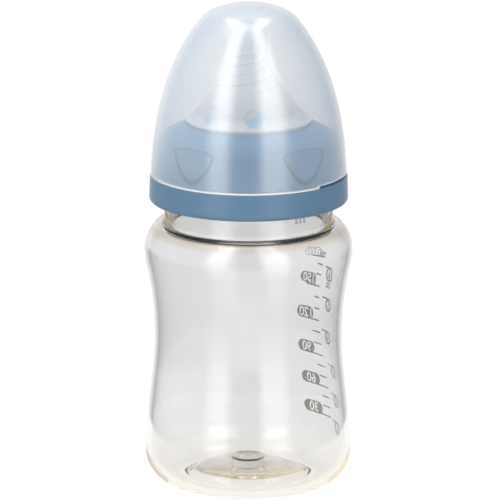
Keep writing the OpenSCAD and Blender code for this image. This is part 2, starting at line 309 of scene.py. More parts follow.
placed = lathe.add(
    "GeometryNodeSetPosition", inputs={"Geometry": grid.out("Mesh"), "Position": swung}
)
merging = {"Geometry": lathe.store(placed, "skin", mark), "Distance": NEAREST * mm}
lathe.finish(lathe.add("GeometryNodeMergeByDistance", inputs=merging))

# %% [markdown]
# ## The helix
# A thread and a spiral rib are the same thing: a ridge that climbs by its lead in one turn.
# Instead of laying a separate strip on the wall, this tree pushes the wall's own points out, or in
# where its height is below 0, so the piece stays one closed skin. That matters in clear plastic,
# where a strip sunk in the wall would show its buried faces. `Side` says which points it may move:
# those with a mark above 0, or those with a mark below 0.

# %% The helix's tree
helix = Recipe(
    "helix",
    Lead="length",
    Starts="count",
    Bottom="length",
    Turns="number",
    Height="length",
    Root="length",
    Crest="length",
    Fade="number",
    Side="number",
)
lead, starts, bottom = helix.given("Lead"), helix.given("Starts"), helix.given("Bottom")
root, fade = helix.given("Root"), helix.given("Fade")
x, y, z = helix.split(helix.here())
radius = (x * x + y * y).math("SQRT")
around = y.math("ARCTAN2", x) / math.tau
spacing = lead / starts
cycles = (z - bottom) / spacing - around * starts
offset = ((cycles + 0.5).math("FRACT") - 0.5) * spacing
climbed = (z - offset - bottom) / lead
run_in = (climbed / fade).held()
run_out = ((helix.given("Turns") - climbed) / fade).held()
flank = (root - helix.given("Crest")) / 2
shape = ((root / 2 - offset.math("ABSOLUTE")) / flank).held()
shape = shape * shape * (3.0 - shape * 2.0)
carries = (helix.carried("skin") * helix.given("Side")).math("MAXIMUM", 0.0)
lift = helix.given("Height") * shape * run_in * run_out * carries / radius
helix.finish(helix.pushed(helix.join(x * lift, y * lift)))

# %% [markdown]
# ## Outlines
# Moulded plastic is drawn with tangent arcs, so the outlines here are made of arcs, one cubic
# curve, and straight runs. They could be drawn by hand as Bezier curves, but numbers are easier to
# change and to check. `ogee` is the S-shaped run between a wide place and a narrow one: an arc
# that bows out, a straight and an arc that bows in. The same centres with smaller or larger radii
# give the inside of the wall. In the lists of points that follow, a bare number well under a
# millimetre only sets a point a little beside its corner.


# %% Outline helpers
def arc(centre, r, a0, a1, n):
    turn = np.radians(np.linspace(a0, a1, n + 1))
    return [(centre[0] + r * math.cos(a), centre[1] + r * math.sin(a)) for a in turn]


def line(p, q, n):
    return [(p[0] + (q[0] - p[0]) * i / n, p[1] + (q[1] - p[1]) * i / n) for i in range(n + 1)]


def bezier(p, n):
    t = np.linspace(0, 1, n + 1)[:, None]
    u = 1 - t
    p = np.array(p, float)
    run = u**3 * p[0] + 3 * u * u * t * p[1] + 3 * u * t * t * p[2] + t**3 * p[3]
    return [tuple(v) for v in run]


def ogee(p, q, straight, convex, inset, n=12):
    """From an upright wide end p to an upright narrow end q, offset inwards by inset.

    A share straight of 1 leaves no straight run, and less leaves a longer one. The share convex
    is how much of both radii the arc that bows out has.
    """
    dr, dz = p[0] - q[0], abs(q[1] - p[1])
    way = math.copysign(1, q[1] - p[1])
    both = straight * (dz * dz + dr * dr) / (2 * dr)
    ra = both * convex
    rb = both - ra
    turn = math.degrees(math.atan2(dz, both - dr) - math.acos(both / math.hypot(both - dr, dz)))
    bow_out = arc((p[0] - ra, p[1]), ra - inset, 0, way * turn, n)
    bow_in = arc((q[0] + rb, q[1]), -(rb + inset), 0, way * turn, n)[::-1]
    return bow_out + line(bow_out[-1], bow_in[0], 4)[1:-1] + bow_in


def polyline(name, points, skin=None):
    """An outline as a mesh of points, with the mark of each point."""
    mesh = bpy.data.meshes.new(name)
    edges = [(i, i + 1) for i in range(len(points) - 1)]
    mesh.from_pydata([(r * mm, 0, h * mm) for r, h in points], edges, [])
    marks = mesh.attributes.new("skin", "FLOAT", "POINT")
    marks.data.foreach_set("value", [float(v) for v in (skin or [0] * len(points))])
    return new_object(name, mesh)


def without_doubles(points, nearest=0.004):
    kept = [points[0]]
    for p in points[1:]:
        if math.dist(p, kept[-1]) > nearest:
            kept.append(p)
    return kept


quarter = [(round(x, 2), round(y, 2)) for x, y in arc((0, 0), 1, 0, 90, 2)]
print("a quarter turn in 2 steps:", quarter)

# %% [markdown]
# ## Clear plastic
# The bottle is a clear plastic with a faint amber cast that shows most where light runs a long way
# inside it, in the foot and at the shoulder. Transparency alone would look like a film; a
# glass-like surface bends what is seen through the wall, and an absorbing volume gives the amber.
# The tint changes with height: the foot is painted paler and warm, as painted light for the bright
# base, the wall is cooler and the neck darker. A brown band round the top of the shoulder is
# painted shade, for the dark amber that long paths of light through the shoulder's edge show. A
# little waviness in the bump is what blow moulding leaves.


# %% Helpers for finishes
def new_finish(name):
    material = bpy.data.materials.new(name)
    material.use_nodes = True
    material.node_tree.nodes.clear()
    g = Graph(material.node_tree)
    return material, g, g.add("ShaderNodeTexCoord").out("Object")


def noise(g, point, scale, detail):
    return g.add("ShaderNodeTexNoise", inputs={"Vector": point, "Scale": scale, "Detail": detail})


def bumps(g, height, strength, distance):
    """Small bumps. The strength is a share, the distance is in mm."""
    inputs = {"Strength": strength, "Distance": distance * mm, "Height": height}
    return g.add("ShaderNodeBump", inputs=inputs)


def principled(g, **sockets):
    """The Principled shader. A socket's name is written with _ for a space."""
    named = {name.replace("_", " "): value for name, value in sockets.items()}
    return g.add("ShaderNodeBsdfPrincipled", inputs=named)


def shade(material, g, **results):
    g.add("ShaderNodeOutputMaterial", inputs=results)
    print(material.name, "nodes:", len(g.tree.nodes))


# %% The bottle's finish
# Painted light: the foot's tint is paler than the wall's, for the brightly lit base; the neck's
# tint is darker.
LIT_FOOT_TINT, WALL_TINT = (0.94, 0.925, 0.895, 1), (0.86, 0.866, 0.885, 1)
NECK_TINT, SHOULDER_SHADE_TINT, SHOULDER_SHADE_SHARE = (0.72, 0.728, 0.735, 1), (0.60, 0.45, 0.22, 1), 0.4
AMBER, AMBER_DENSITY, CLEAR_IOR = (0.93, 0.72, 0.2, 1), 14.0, 1.5
FOOT_END, NECK_START, SHOULDER_SHADE_START, SHOULDER_SHADE_END = (6, 14), (86.6, 87.6), (82.6, 83.8), (84.9, 85.5)
clear_body, g, point = new_finish("clear_body")
height = g.split(point)[2]
wave = noise(g, point, scale=45.0, detail=1.0)
tint = g.mix_colour(height.rise(*FOOT_END), LIT_FOOT_TINT, WALL_TINT)
tint = g.mix_colour(height.rise(*NECK_START), tint, NECK_TINT)
# Painted shade: a brown band round the top of the shoulder, for the dark amber that long light
# paths through its edge show.
shoulder_shade = height.rise(*SHOULDER_SHADE_START) * (1.0 - height.rise(*SHOULDER_SHADE_END))
plastic = principled(
    g,
    Base_Color=g.mix_colour(shoulder_shade * SHOULDER_SHADE_SHARE, tint, SHOULDER_SHADE_TINT),
    Roughness=wave * 0.04 + 0.01,
    IOR=CLEAR_IOR,
    Transmission_Weight=1.0,
    Normal=bumps(g, wave, strength=0.05, distance=0.2),
)
amber = g.add("ShaderNodeVolumeAbsorption", inputs={"Color": AMBER, "Density": AMBER_DENSITY})
shade(clear_body, g, Surface=plastic, Volume=amber)

# %% [markdown]
# ## Silicone
# Silicone is milky: most light goes in and comes out softened. Real scattering inside so thin a
# wall is slow to render and noisy, so a pale surface with some see-through is used instead. The
# bead at the foot of the dome is thicker, and it is made less see-through than that alone would
# make it, as a painted highlight along it. The two vent flaps are painted with the blue of the
# ring behind them and made less see-through too.

# %% The teat's finish
MILK_DARK, MILK_PALE = (0.76, 0.79, 0.83, 1), (0.82, 0.85, 0.88, 1)
PAINTED_RING_BLUE = (0.32, 0.50, 0.68, 1)
BODY_ALPHA, BEAD_AND_HIGHLIGHT_ALPHA, PAINTED_BLUE_ALPHA = 0.33, 0.4, 0.4
BEAD_HIGHLIGHT_FADE = (120.4, 123.5)
soft_silicone, g, point = new_finish("soft_silicone")
cloud = noise(g, point, scale=160.0, detail=3.0)
# Painted highlight: the bead and the foot of the dome are made less see-through, so they read
# paler.
bead_highlight_share = 1.0 - g.split(point)[2].rise(*BEAD_HIGHLIGHT_FADE)
# Painted: the ring's blue behind the vent flaps is painted onto them.
painted_blue_share = g.add("ShaderNodeAttribute", {"attribute_name": "pocket"}).out("Fac")
milky = g.mix_colour(cloud, MILK_DARK, MILK_PALE)
rubber = principled(
    g,
    Base_Color=g.mix_colour(painted_blue_share, milky, PAINTED_RING_BLUE),
    Roughness=cloud * 0.12 + 0.4,
    IOR=1.41,
    Specular_IOR_Level=0.2,
    Alpha=bead_highlight_share * BEAD_AND_HIGHLIGHT_ALPHA + painted_blue_share * PAINTED_BLUE_ALPHA + BODY_ALPHA,
    Normal=bumps(g, cloud, strength=0.1, distance=0.05),
)
shade(soft_silicone, g, Surface=rubber)

# %% [markdown]
# ## Ring plastic
# The ring is a dyed, satin-gloss plastic with the faint orange peel of a mould, so its colour and
# roughness drift a little and a fine bump breaks its reflections. The collar under the hood is
# painted a lighter blue than the band: painted light, for its faces turn up to the light. A thin
# dark line of painted shade runs round each grip facet, for the turn in the shading at its edge:
# it could be painted by hand, but the facet is a flat plane, so the distance from that plane finds
# its outline by itself.

# %% The ring's finish
FACET_TURNS = (-90 + 38, -90 - 38, 90 + 38, 90 - 38)
FACET_FOOT, FACET_LEAN, FACET_REACH = 105.3, 10.7, 29.94
BAND_DYES = (0.086, 0.170, 0.272, 1), (0.099, 0.188, 0.295, 1)
LIT_COLLAR_COLOUR, LIT_COLLAR_START = (0.118, 0.26, 0.44, 1), (102.1, 102.4)
FACET_SHADE_COLOUR, FACET_SHADE_SHARE, FACET_SHADE_START = (0.04, 0.09, 0.15, 1), 0.9, (102.4, 102.6)
FACET_SHADE_OUT, FACET_SHADE_IN = (-0.3, -0.24), (-0.06, -0.01)
ring_plastic, g, point = new_finish("ring_plastic")
peel = noise(g, point, scale=900.0, detail=2.0)
mottle = noise(g, point, scale=60.0, detail=2.0)
x, y, z = g.split(point)
# Painted shade: a thin dark line round each facet, for the change of shading at the facet's edge.
facet_shade = 0.0
for turned in FACET_TURNS:
    a = math.radians(turned)
    off = x * math.cos(a) + y * math.sin(a) - FACET_REACH * mm
    off = off + (z - FACET_FOOT * mm) * math.tan(math.radians(FACET_LEAN))
    edge_shade = off.rise(*FACET_SHADE_OUT) * (1.0 - off.rise(*FACET_SHADE_IN))
    facet_shade = edge_shade + facet_shade
facet_shade = facet_shade * z.rise(*FACET_SHADE_START)
dye_and_light = g.mix_colour(mottle, *BAND_DYES)
# Painted light: the collar is painted a lighter blue than the band, for the light that its upward
# faces catch.
dye_and_light = g.mix_colour(z.rise(*LIT_COLLAR_START), dye_and_light, LIT_COLLAR_COLOUR)
ring_surface = principled(
    g,
    Base_Color=g.mix_colour(facet_shade * FACET_SHADE_SHARE, dye_and_light, FACET_SHADE_COLOUR),
    Roughness=peel * 0.08 + 0.26,
    IOR=1.49,
    Normal=bumps(g, peel, strength=0.06, distance=0.02),
)
shade(ring_plastic, g, Surface=ring_surface)

# %% [markdown]
# ## Frosted plastic
# The hood is the ring's plastic without dye: a thin bluish-white veil that one sees through,
# denser where the wall is seen edge-on. One Principled shader with an alpha would fade its
# reflections as well, so the veil is mixed with a transparent shader first, and the gloss is laid
# over both. The rim's cut edge is painted as a pale line, a painted highlight where the edge
# catches the light, found by the mark that its points carry.


# %% The hood's finish
def mirror_share(slope):
    """How much a clear plastic mirrors, from 4% head-on to all of it at a grazing angle."""
    return slope**5.0 * 0.96 + 0.04


HOOD_CLEARNESS, HOOD_GLOSS, THINNEST = 0.87, 2.0, 0.3
VEIL_DARK, VEIL_PALE = (0.50, 0.615, 0.77, 1), (0.53, 0.645, 0.80, 1)
RIM_HIGHLIGHT, RIM_HIGHLIGHT_SHARE = (0.88, 0.88, 0.88, 1), 0.8
frosted_plastic, g, point = new_finish("frosted_plastic")
frost = noise(g, point, scale=500.0, detail=3.0)
slope = g.add("ShaderNodeLayerWeight", inputs={"Blend": 0.5}).out("Facing")
# Painted highlight: the rim's marked points are painted pale and made less see-through.
rim_highlight = g.add("ShaderNodeAttribute", {"attribute_name": "skin"}).out("Fac")
milk = g.mix_colour(frost, VEIL_DARK, VEIL_PALE)
veil_and_highlight = g.mix_colour(rim_highlight, milk, RIM_HIGHLIGHT)
veil = principled(g, Base_Color=veil_and_highlight, Roughness=0.6, Specular_IOR_Level=0.0)
see_through = g.add("ShaderNodeBsdfTransparent", inputs={"Color": (1.0, 0.99, 0.97, 1)})
path = 1.0 / (1.0 - slope).math("MAXIMUM", THINNEST)
cover = (1.0 - (HOOD_CLEARNESS**path)).math("MAXIMUM", rim_highlight * RIM_HIGHLIGHT_SHARE)
gloss = g.add(
    "ShaderNodeBsdfGlossy",
    inputs={
        "Color": (1, 1, 1, 1),
        "Roughness": frost * 0.06 + 0.17,
        "Normal": bumps(g, frost, strength=0.05, distance=0.02),
    },
)
wall = g.mix_shader(cover, see_through, veil)
shade(frosted_plastic, g, Surface=g.mix_shader(mirror_share(slope) * HOOD_GLOSS, wall, gloss))

# %% [markdown]
# ## The bottle
# The real one is blown in a mould, so its wall has one thickness and its outside is one smooth
# run. The outline starts under the middle of the base, runs out over the foot, up the side with
# its waist, over the shoulder and up the neck, and comes back down inside. The base is pushed up
# in the middle, and the moulding gate leaves a small dished disc there. The floor is drawn thin,
# because a thick clear floor goes dark. Only one of the outline's runs is marked, the root of the
# thread, and the helix lifts the thread's ridge out of it.

# %% The bottle's sizes
LOW, MID, TOP = (33.25, 10.4), (30.35, 49.0), (33.6, 77.6)
LOWER_RUN, UPPER_RUN = (0.85, 0.54), (0.98, 0.21)
SHOULDER, CROWN_R, WALL = 86.3, 3.8, 1.8
NECK_R, NECK_FILLET, NECK_BORE = 27.2, 0.5, 25.0
ROOT_R, RIM, RIM_ROUND, THROAT_ROUND = 26.6, 111.3, 0.5, 1
NECK_PLAIN, NECK_STEP, ROOT_FOOT, ROOT_TOP = 8.1, 8.7, 9.5, 0.8
FOOT_R, FOOT_W, FOOT_EASE, HEEL_IN, HEEL_UP = 22.85, 2.0, 0.7, 0.5, 0.25
FLOOR_T, FLOOR_CORNER, FLOOR_R, SLOPE_R, SLOPE_UP = 2.2, 8.6, 20.85, 18.6, 0.8
PANEL_R, PANEL_Z, PUSH_Z = 16.1, 2.4, 4.6
INNER_EDGE, INNER_TOP, INNER_BEND, EDGE_OUT, EDGE_DOWN = 4.5, 7.7, 2.0, 0.25, 0.2
GATE_R, GATE_H, GATE_RIM, GATE_DISH = 5.3, 0.6, 1.4, 0.3
GATE_ROUND, GATE_SLOPE, GATE_CLEAR = 0.4, 0.5, 0.3


def side(inset):
    """The bottle's side from the foot's corner to the top of the shoulder."""
    top_r = NECK_R + NECK_FILLET
    a, b = TOP[0] - top_r, SHOULDER - TOP[1]
    big = (a * a + (b - CROWN_R) ** 2 - CROWN_R**2) / (2 * (a - CROWN_R))
    turn = math.degrees(math.atan2(b - CROWN_R, big - a))
    return (
        ogee(LOW, MID, *LOWER_RUN, inset)
        + ogee(TOP, MID, *UPPER_RUN, inset)[::-1]
        + arc((TOP[0] - big, TOP[1]), big - inset, 0, turn, 10)
        + arc((top_r, SHOULDER - CROWN_R), CROWN_R - inset, turn, 90, 8)
    )


def under_panel(n=14):
    return [(PANEL_R * i / n, PUSH_Z - (PUSH_Z - PANEL_Z) * (i / n) ** 2) for i in range(n + 1)]


def upper_panel(n=24):
    fall = INNER_TOP - INNER_EDGE
    runs = [r for r in (PANEL_R * i / n for i in range(n, 0, -1)) if r > GATE_R + GATE_CLEAR]
    return [(r, INNER_TOP - fall * (r / PANEL_R) ** INNER_BEND) for r in runs]


print("side:", len(side(0)), "points, panel:", len(under_panel()), "and", len(upper_panel()))

# %% The bottle's outline
outer = under_panel() + line((PANEL_R, PANEL_Z), (FOOT_R - FOOT_W - HEEL_IN, HEEL_UP), 4)
outer += arc((FOOT_R - FOOT_W, FOOT_EASE), -FOOT_EASE, 60, 90, 3)
outer += arc((FOOT_R, LOW[1]), LOW[1], -90, 0, 20) + side(0)
outer += arc((NECK_R + NECK_FILLET, SHOULDER + NECK_FILLET), -NECK_FILLET, 90, 0, 5)
outer += [(NECK_R, SHOULDER + NECK_PLAIN), (ROOT_R, SHOULDER + NECK_STEP)]
outer += line((ROOT_R, SHOULDER + ROOT_FOOT), (ROOT_R, RIM - ROOT_TOP), 76)
inner = arc((ROOT_R - RIM_ROUND, RIM - RIM_ROUND), RIM_ROUND, 0, 90, 5)
inner += arc((NECK_BORE + RIM_ROUND, RIM - RIM_ROUND), RIM_ROUND, 90, 180, 5)
inner += line((NECK_BORE, RIM - 2 * RIM_ROUND), (NECK_BORE, SHOULDER), 10)
inner += arc((NECK_BORE + THROAT_ROUND, SHOULDER - WALL + THROAT_ROUND), -THROAT_ROUND, 0, 90, 6)
channel_r, channel_z = LOW[0] - WALL - FLOOR_CORNER, FLOOR_T + FLOOR_CORNER
inner += [p for p in side(WALL)[::-1] if p[1] > channel_z + 0.5]
inner += arc((channel_r, channel_z), FLOOR_CORNER, 0, -90, 20)
inner += [(FLOOR_R, FLOOR_T), (SLOPE_R, FLOOR_T + SLOPE_UP)]
inner += [(PANEL_R + EDGE_OUT, INNER_EDGE - EDGE_DOWN)] + upper_panel()
gate_top = INNER_TOP + GATE_H
inner += [(GATE_R, inner[-1][1] + 0.05), (GATE_R, gate_top - GATE_ROUND)]
inner += arc((GATE_R - GATE_ROUND, gate_top - GATE_ROUND), GATE_ROUND, 0, 90, 4)
inner += [(GATE_R - GATE_RIM, gate_top), (GATE_R - GATE_RIM - GATE_SLOPE, gate_top - GATE_DISH)]
inner += [(0, gate_top - GATE_DISH)]
bottle_outline = without_doubles(outer) + without_doubles(inner)
root_from, root_to = SHOULDER + ROOT_FOOT - 0.5, RIM - ROOT_TOP + 0.1
root_mark = [float(abs(r - ROOT_R) < 0.01 and root_from < h < root_to) for r, h in bottle_outline]
print("bottle's outline:", len(bottle_outline), "points, thread's root:", int(sum(root_mark)))

# %% The bottle's body
THREAD = {"Lead": 4.0, "Starts": 1, "Root": 2.2, "Crest": 1.0, "Fade": 0.07}
THREAD_H, NECK_TURNS, THREAD_FREE = 1.4, 1.5, 1.4
raw = polyline("bottle_raw", bottle_outline, root_mark)
lathe.put_on(raw, clear_body, Steps=224)
helix.put_on(
    raw,
    clear_body,
    Bottom=RIM - THREAD_FREE - THREAD["Root"] / 2 - NECK_TURNS * THREAD["Lead"],
    Turns=NECK_TURNS,
    Height=THREAD_H,
    Side=1.0,
    **THREAD,
)
bottle_piece = settle(raw, "clear_bottle")
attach(bottle_piece, "bottle")
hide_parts("bottle")

# %% [markdown]
# ## Ratchet ribs
# Three short upright ribs stand on the neck just under the ring and stop it from turning back on
# its own. They repeat round the neck, so a small tree turns each one by its own angle: copying by
# hand would need three meshes and three angles. They stand a hair off the neck, because two clear
# solids that share a face would show it.

# %% The ribs' tree
stops = Recipe(
    "stops",
    Count="count",
    First="angle",
    Step="angle",
    Out="length",
    Up="length",
    High="length",
    Wide="length",
    Slender="number",
)
row_of = stops.add("GeometryNodeMeshLine", inputs={"Count": stops.given("Count")})
swing = stops.given("First") + stops.add("GeometryNodeInputIndex") * stops.given("Step")
out_by = stops.given("Out")
stand = stops.join(swing.math("COSINE") * out_by, swing.math("SINE") * out_by, stops.given("Up"))
stood = stops.add("GeometryNodeSetPosition", inputs={"Geometry": row_of, "Position": stand})
wide = stops.given("Wide")
bar_size = stops.join(stops.given("High"), wide, wide * stops.given("Slender"))
bar = stops.add("GeometryNodeMeshCube", inputs={"Size": bar_size}).out("Mesh")
turned_bars = {"Points": stood, "Instance": bar, "Rotation": stops.join(z=swing)}
stops.finish(stops.add("GeometryNodeInstanceOnPoints", inputs=turned_bars))

# %% The ribs
RIB_W, RIB_H, RIB_SLENDER, RIB_GAP = 0.6, 0.4, 4.3, 0.02
RIB_COUNT, RIB_STEP, RIB_TURN, RIB_Z = 3, 3.2, 37.0, 92.1
raw = polyline("stops_raw", [(0, 0), (0, 1)])
stops.put_on(
    raw,
    clear_body,
    Count=RIB_COUNT,
    First=-90 + RIB_TURN - RIB_STEP,
    Step=RIB_STEP,
    Out=NECK_R + RIB_GAP + RIB_H / 2,
    Up=RIB_Z,
    High=RIB_H,
    Wide=RIB_W,
    Slender=RIB_SLENDER,
)
stops_piece = settle(raw, "ratchet_ribs")
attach(stops_piece, "bottle")

# %% [markdown]
# ## The printed scale
# Millilitres and ounces are screen-printed on the outside of the wall, so they read the right way
# round from the back and mirrored through the bottle. Each full mark is a line with its number
# left open in a filled lozenge, and each ounce mark is a small ring with a digit. A material could
# draw all this, but only a sharp picture would do, so the ink is geometry. It is drawn flat first:
# text turned into curves shares one curve with its lozenge, because a closed line inside another
# one is a hole. A node tree lays out the ticks. Then the flat sheet is cut into narrow strips,
# bent round the wall and given a thickness.

# %% How high each volume reaches
FIRST_ML, FIRST_Z, TICK_ML, FULL, BRIM, OUNCE = 30, 16.5, 10, 30, 180, 28.4
CLIMB, THINNING = (10.5, 80, 1400), 0.0036
wall_points = sorted(side(0), key=lambda p: p[1])
wall_z, wall_r = [p[1] for p in wall_points], [p[0] for p in wall_points]
climb = np.linspace(*CLIMB)
area = np.pi * (np.interp(climb, wall_z, wall_r) - WALL) ** 2
held = np.cumsum(area) * (climb[1] - climb[0]) / 1000
held += FIRST_ML - np.interp(FIRST_Z, climb, held)


def wall_radius(height):
    return float(np.interp(height, wall_z, wall_r))


def level_of(ml):
    """The height of a volume, a little lower where the blown bulge has a thinner wall."""
    level = float(np.interp(ml, held, climb))
    return level - THINNING * max(0.0, level - MID[1]) ** 2


print("levels:", {ml: round(level_of(ml), 1) for ml in range(FIRST_ML, BRIM + 1, FULL)})

# %% [markdown]
# The marks are placed by their bearing round the bottle, in degrees, and their height. The left
# margin of the ticks leans, so it is a short table of heights and bearings. A lozenge has its own
# bearing, half height and half width of its straight part, and an ounce mark has the bearings of
# its line's end and of its ring.

# %% Where the marks sit
SHEET_R, LINE_W = 32.0, 0.5
MARGIN = ((16.5, 29.4), (26, 29.3), (36.3, 32.7), (48, 35.9), (60, 37.1), (70, 36.0))
LOZENGES = {
    30: (46.1, 2.1, 2.35),
    60: (46.8, 2.1, 2.35),
    90: (48.9, 2.1, 1.9),
    120: (49.5, 2.1, 1.9),
    150: (48.2, 1.85, 1.9),
    180: (47.5, 1.85, 1.9),
}
OUNCES = {
    1: (27.0, 19.6),
    2: (26.6, 19.0),
    3: (27.0, 18.6),
    4: (32.8, 24.1),
    5: (33.4, 24.4),
    6: (33.5, 27.0),
}


def across(degrees):
    """Place on the flat sheet, in mm, of a bearing round the bottle."""
    return math.radians(degrees) * SHEET_R


def margin(height):
    return float(np.interp(height, [m[0] for m in MARGIN], [m[1] for m in MARGIN]))


print("margin at 30 mm:", round(across(margin(30)), 2), "mm along the sheet")


# %% Drawing flat ink
def oval(rx, ry, flat=0.0, n=32):
    """A closed line: an ellipse, pulled apart sideways by flat on each side."""
    turn = [math.tau * i / n for i in range(n)]
    return [(rx * math.cos(a) + math.copysign(flat, math.cos(a)), ry * math.sin(a)) for a in turn]


def text_as_curve(name, text, size):
    """Text as an editable curve."""
    letters = bpy.data.curves.new(name, "FONT")
    letters.body, letters.size = text, size
    letters.align_x, letters.align_y = "CENTER", "CENTER"
    obj = new_object(name, letters)
    for other in bpy.context.selected_objects:
        other.select_set(False)
    obj.select_set(True)
    bpy.context.view_layer.objects.active = obj
    bpy.ops.object.convert(target="CURVE")
    return bpy.context.view_layer.objects.active


def stamp(name, text, size, frames, at, swell):
    """Text and its frames as flat ink, where a line inside another is a hole."""
    obj = text_as_curve(name, text, size)
    drawn = obj.data
    drawn.dimensions, drawn.fill_mode, drawn.resolution_u, drawn.offset = "2D", "BOTH", 4, swell
    knots = [knot for spline in drawn.splines for knot in spline.bezier_points]
    middle = [(min(k.co[i] for k in knots) + max(k.co[i] for k in knots)) / 2 for i in range(2)]
    for knot in knots:
        for part in ("co", "handle_left", "handle_right"):
            place = getattr(knot, part)
            setattr(knot, part, (place.x - middle[0], place.y - middle[1], 0))
    for frame_line in frames:
        spline = drawn.splines.new("POLY")
        spline.points.add(len(frame_line) - 1)
        spline.use_cyclic_u = True
        for knot, (px, py) in zip(spline.points, frame_line):
            knot.co = (px, py, 0, 1)
    flat = as_mesh(obj)
    flat.transform(Matrix.Translation((at[0], at[1], 0)))
    return flat


print("points of an oval:", len(oval(2, 1)))

# %% Numbers with their frames
DIGIT_SHARE, FRAME_W, DIGIT_SWELL = 2.1, 0.35, -0.07
RING_OUT, RING_IN, RING_DROP, RING_DIGIT, RING_SWELL = (2.4, 2.15), (1.7, 1.6), 1.9, 3.4, 0.06
WORD_SIZE, WORD_SWELL = 3.4, 0.08
OZ_BEARING, OZ_DROP, ML_BEARING, ML_RISE = 27.5, 5.2, 38.5, 1.5
flats = []
for ml, (bearing_at, tall, straight) in LOZENGES.items():
    at = (across(bearing_at), level_of(ml) + tall - LINE_W / 2)
    frames = [oval(tall, tall, straight)]
    if ml == BRIM:
        frames.append(oval(tall - FRAME_W, tall - FRAME_W, straight))
    flats.append(stamp(f"mark_{ml}", str(ml), DIGIT_SHARE * tall, frames, at, DIGIT_SWELL))
for ounces, (_, ring_at) in OUNCES.items():
    at = (across(ring_at), level_of(OUNCE * ounces) - RING_DROP)
    rings = [oval(*RING_OUT), oval(*RING_IN)]
    flats.append(stamp(f"ounce_{ounces}", str(ounces), RING_DIGIT, rings, at, RING_SWELL))
oz_at = (across(OZ_BEARING), level_of(OUNCE * max(OUNCES)) - OZ_DROP)
ml_at = (across(ML_BEARING), level_of(BRIM) + ML_RISE)
flats.append(stamp("ounce_word", "oz", WORD_SIZE, [], oz_at, WORD_SWELL))
flats.append(stamp("ml_word", "ml", WORD_SIZE, [], ml_at, WORD_SWELL))
print("stamps:", len(flats), "faces", sum(len(f.polygons) for f in flats))

# %% The ticks' tree
ticks = Recipe("ticks", Width="number")
plate = ticks.add(
    "GeometryNodeMeshGrid", inputs={"Size X": 1.0, "Size Y": 1.0, "Vertices X": 2, "Vertices Y": 2}
)
size = ticks.join(ticks.carried("long"), ticks.given("Width"), 1.0)
plates = {"Points": ticks.given("Geometry"), "Instance": plate.out("Mesh"), "Scale": size}
ticks.finish(ticks.add("GeometryNodeInstanceOnPoints", inputs=plates))

# %% [markdown]
# Screen ink is opaque, warm grey and a little chalky. It has no shape of its own to catch the
# light, so a fine grain in its colour and roughness is all that keeps it from looking flat.

# %% The ink's finish
INK_DARK, INK_PALE = (0.80, 0.755, 0.69, 1), (0.88, 0.83, 0.765, 1)
printed_ink, g, point = new_finish("printed_ink")
grain = noise(g, point, scale=1800.0, detail=2.0)
ink_colour = g.mix_colour(grain, INK_DARK, INK_PALE)
ink = principled(g, Base_Color=ink_colour, Roughness=grain * 0.1 + 0.5)
shade(printed_ink, g, Surface=ink)

# %% The ticks
TICK_LONG, TICK_SHORT, SHORT_FROM = 4.5, 2.9, 115
spans = []
for ml in range(FIRST_ML, BRIM + TICK_ML, TICK_ML):
    level = level_of(ml)
    start = across(margin(level))
    if ml % FULL:
        end = start + (TICK_LONG if ml < SHORT_FROM else TICK_SHORT)
    else:
        end = across(LOZENGES[ml][0])
    spans.append((start, end, level))
for ounces, (line_at, ring_at) in OUNCES.items():
    spans.append((across(ring_at), across(line_at), level_of(OUNCE * ounces)))
tick_mesh = bpy.data.meshes.new("tick_rows")
tick_mesh.from_pydata([((a + b) / 2, level, 0) for a, b, level in spans], [], [])
longs = tick_mesh.attributes.new("long", "FLOAT", "POINT")
longs.data.foreach_set("value", [b - a for a, b, level in spans])
tick_rows = new_object("tick_rows", tick_mesh)
ticks.put_on(tick_rows, printed_ink, Width=LINE_W)
flats.append(as_mesh(tick_rows))
print("ticks:", len(spans))

# %% Bending the sheet round the wall
INK_GAP, INK_T, STRIP = 0.03, 0.04, 0.6
sheet = bmesh.new()
for flat in flats:
    sheet.from_mesh(flat)
    bpy.data.meshes.remove(flat)
for axis, step in ((0, STRIP), (1, 2 * STRIP)):
    low = min(v.co[axis] for v in sheet.verts)
    high = max(v.co[axis] for v in sheet.verts)
    for cut_at in np.arange(low + step / 2, high, step):
        place = Vector((0, 0, 0))
        place[axis] = float(cut_at)
        normal = Vector((float(axis == 0), float(axis == 1), 0))
        parts = sheet.verts[:] + sheet.edges[:] + sheet.faces[:]
        bmesh.ops.bisect_plane(sheet, geom=parts, dist=1e-5, plane_co=place, plane_no=normal)
bmesh.ops.remove_doubles(sheet, verts=sheet.verts[:], dist=1e-4)
bmesh.ops.triangulate(sheet, faces=sheet.faces[:])
for face in sheet.faces:
    if face.normal.z < 0:
        face.normal_flip()
for vert in sheet.verts:
    at, height = vert.co.x / SHEET_R, vert.co.y
    r = wall_radius(height) + INK_GAP
    vert.co = Vector((r * math.cos(at), r * math.sin(at), height)) * mm
ink_mesh = bpy.data.meshes.new("printed_scale_sheet")
sheet.to_mesh(ink_mesh)
sheet.free()
ink_sheet = new_object("printed_scale_sheet", ink_mesh)
ink_mesh.materials.clear()
ink_mesh.materials.append(printed_ink)
thicken = ink_sheet.modifiers.new("thickness", "SOLIDIFY")
thicken.thickness, thicken.offset = INK_T * mm, 1.0
scale_piece = settle(ink_sheet, "printed_scale")
for polygon in scale_piece.data.polygons:
    polygon.material_index = 0
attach(scale_piece, "bottle")

# %% [markdown]
# ## The screw ring
# The ring is a band with a narrower collar on top, where the hood slips over. The collar's roof
# slopes up to the mouth that holds the teat, with a fine crease where the mould's two parts met.
# Inside are a rib that clamps the teat's flange and the thread. Modelling by extrusion would do
# for the band, but not for the tapered thread, so this is the lathe again. The collar's points are
# marked with 1 and those of the thread's bore with -1.

